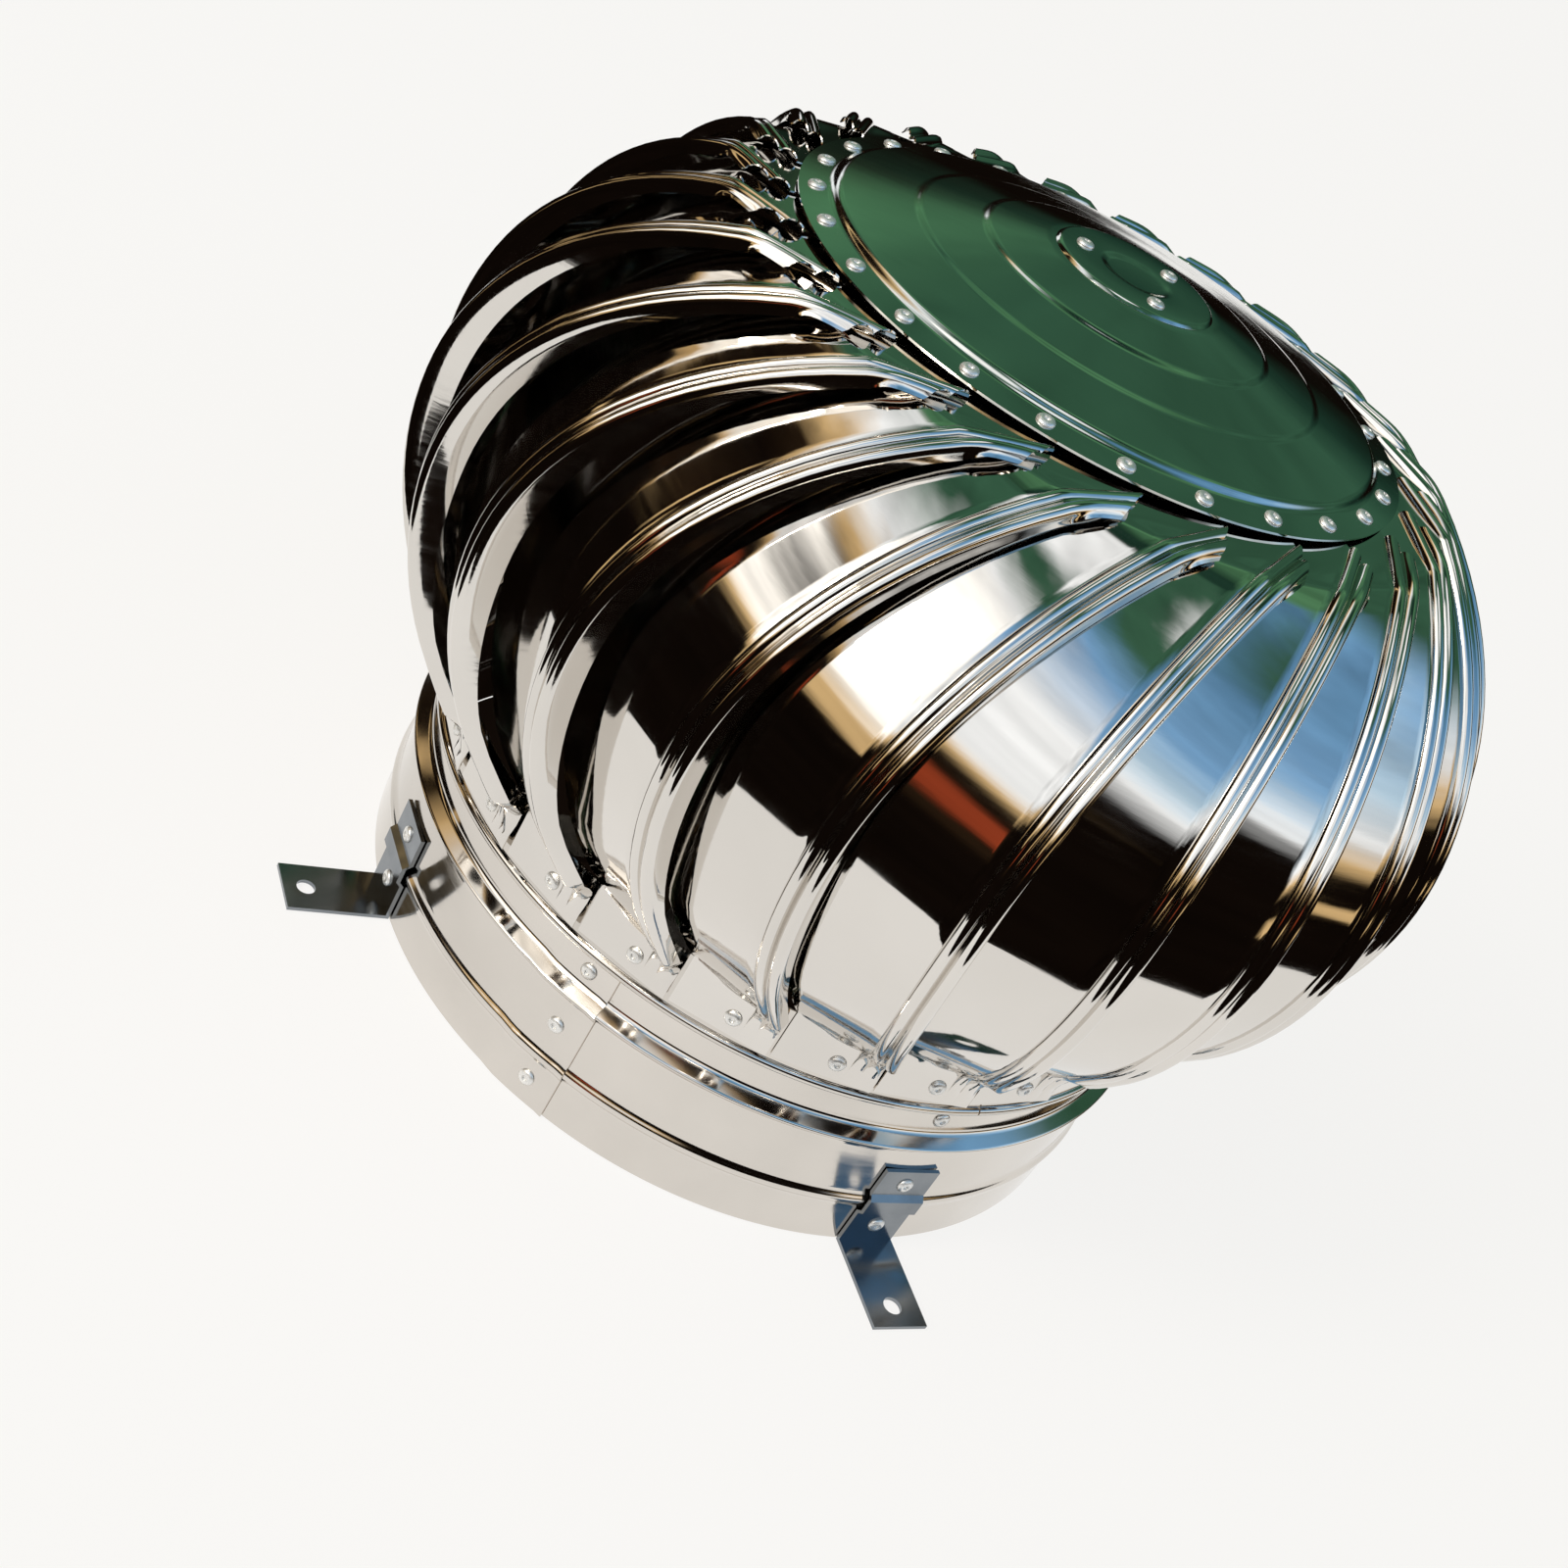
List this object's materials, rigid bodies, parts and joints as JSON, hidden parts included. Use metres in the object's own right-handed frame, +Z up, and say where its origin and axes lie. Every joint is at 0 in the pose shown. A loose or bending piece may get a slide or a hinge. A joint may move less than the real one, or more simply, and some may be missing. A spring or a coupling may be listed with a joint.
{
  "type": "roof turbine ventilator",
  "caption": "Wind-turned roof ventilator: a louvred metal head with curved ridged blades spins on a spindle above a fixed round neck with strap feet.",
  "frame": {"origin": "centre of the neck's lower rim, in the plane of the strap feet's undersides", "axes": "+Z up along the spindle axis; the strap feet stand at 45, 135, 225 and 315 degrees from +X"},
  "size_m": [0.3922, 0.3925, 0.3102],
  "materials": {
    "blade_sheet": "mirror-polished thin stainless sheet",
    "crown_sheet": "bright rolled stainless sheet, slightly wavy",
    "neck_sheet": "bright rolled stainless sheet with faint rolling marks",
    "brackets": "bright strip steel",
    "rivets": "satin blind rivets",
    "spindle_steel": "drawn bar, zinc plated",
    "bearing_steel": "ground bearing steel"
  },
  "bodies": {
    "base": {"base_collar": "neck_sheet", "collar_seam_rivets": "rivets", "strap_rivets": "rivets", "mounting_strap_1": "brackets", "mounting_strap_2": "brackets", "mounting_strap_3": "brackets", "mounting_strap_4": "brackets", "lower_cross_bar": "brackets", "upper_cross_bar": "brackets", "cross_bar_rivets": "rivets", "spindle": "spindle_steel", "spindle_nuts": "spindle_steel", "bearing_inner_races": "bearing_steel"},
    "turbine": {"blade_01": "blade_sheet", "blade_02": "blade_sheet", "blade_03": "blade_sheet", "blade_04": "blade_sheet", "blade_05": "blade_sheet", "blade_06": "blade_sheet", "blade_07": "blade_sheet", "blade_08": "blade_sheet", "blade_09": "blade_sheet", "blade_10": "blade_sheet", "blade_11": "blade_sheet", "blade_12": "blade_sheet", "blade_13": "blade_sheet", "blade_14": "blade_sheet", "blade_15": "blade_sheet", "blade_16": "blade_sheet", "blade_17": "blade_sheet", "blade_18": "blade_sheet", "blade_19": "blade_sheet", "blade_20": "blade_sheet", "blade_21": "blade_sheet", "blade_22": "blade_sheet", "blade_23": "blade_sheet", "blade_24": "blade_sheet", "blade_25": "blade_sheet", "crown_plate": "crown_sheet", "crown_rivets": "rivets", "hub_plate": "crown_sheet", "hub_rivets": "rivets", "rotor_ring": "neck_sheet", "ring_rivets": "rivets", "rotor_spider": "brackets", "spider_rivets": "rivets", "upper_bearing_housing": "brackets", "bearing_outer_races": "bearing_steel"}
  },
  "joints": [
    {"name": "turbine_spin", "type": "hinge", "parent": "base", "child": "turbine", "pos_m": [0, 0, 0.088], "axis": [0, 0, 1], "continuous": true}
  ]
}
